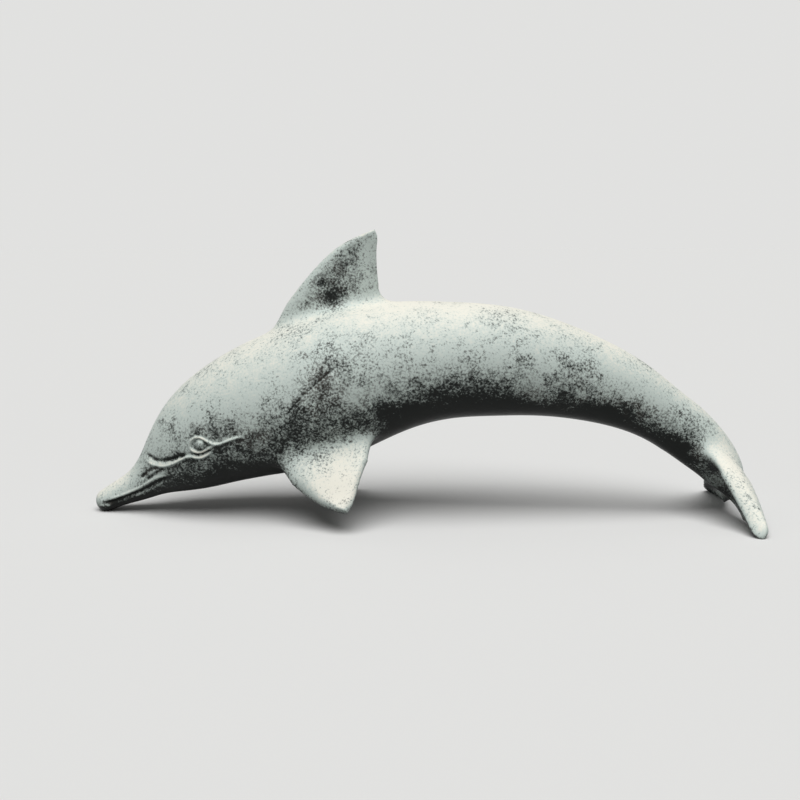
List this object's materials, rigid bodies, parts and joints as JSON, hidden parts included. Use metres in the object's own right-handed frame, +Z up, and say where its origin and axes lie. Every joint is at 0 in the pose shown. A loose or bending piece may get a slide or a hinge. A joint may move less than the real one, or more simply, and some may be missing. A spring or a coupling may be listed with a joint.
{
  "type": "dolphin paperweight",
  "caption": "Cast bronze dolphin arched in a leap, resting on its beak and tail flukes, with a verdigris patina.",
  "frame": {"origin": "on the table, midway between the beak's tip and the tail's end, on the middle plane", "axes": "+X from beak to tail, +Y to the dolphin's right side, +Z up"},
  "size_m": [0.1658, 0.0508, 0.0716],
  "materials": {
    "patinated_bronze": "solid cast bronze, dark brown under a fine mottled blue-green verdigris patina, semi-gloss, worn pale on ridges and edges"
  },
  "bodies": {
    "root": {"dolphin": "patinated_bronze"}
  },
  "joints": []
}
